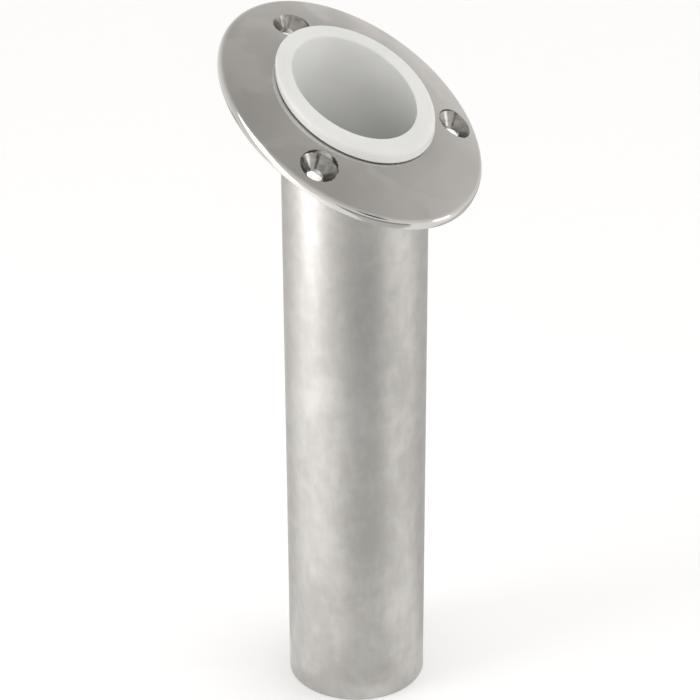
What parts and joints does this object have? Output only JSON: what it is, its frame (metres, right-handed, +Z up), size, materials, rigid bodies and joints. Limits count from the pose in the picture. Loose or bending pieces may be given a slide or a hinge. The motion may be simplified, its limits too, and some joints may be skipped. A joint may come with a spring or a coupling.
{
  "type": "flush-mount rod holder",
  "caption": "Stainless tube leaning 30 degrees under a crowned oval deck flange, with a white push-in liner and a cross pin near its foot.",
  "frame": {"origin": "where the tube's axis meets the flat underside of the flange, in the middle of the deck's cut-out", "axes": "+Z up the tube's axis, out of the mouth; +X towards the low end of the flange, which drops 30 degrees that way; +Y completes a right-handed frame, and the holder is symmetric across the XZ plane"},
  "size_m": [0.0939, 0.0862, 0.2494],
  "materials": {
    "polished_steel": "mirror-polished cast stainless steel",
    "satin_steel": "hand-sanded satin stainless tube",
    "weld_steel": "dressed weld metal",
    "white_plastic": "satin off-white PVC"
  },
  "bodies": {
    "holder": {"flange": "polished_steel", "tube": "satin_steel", "flange_weld": "weld_steel", "gimbal_pin": "satin_steel", "pin_plug_left": "weld_steel", "pin_plug_right": "weld_steel"},
    "sleeve": {"liner": "white_plastic"}
  },
  "joints": [
    {"name": "liner_slide", "type": "slide", "parent": "holder", "child": "sleeve", "axis": [0, 0, 1], "range_m": [0, 0.235]}
  ]
}
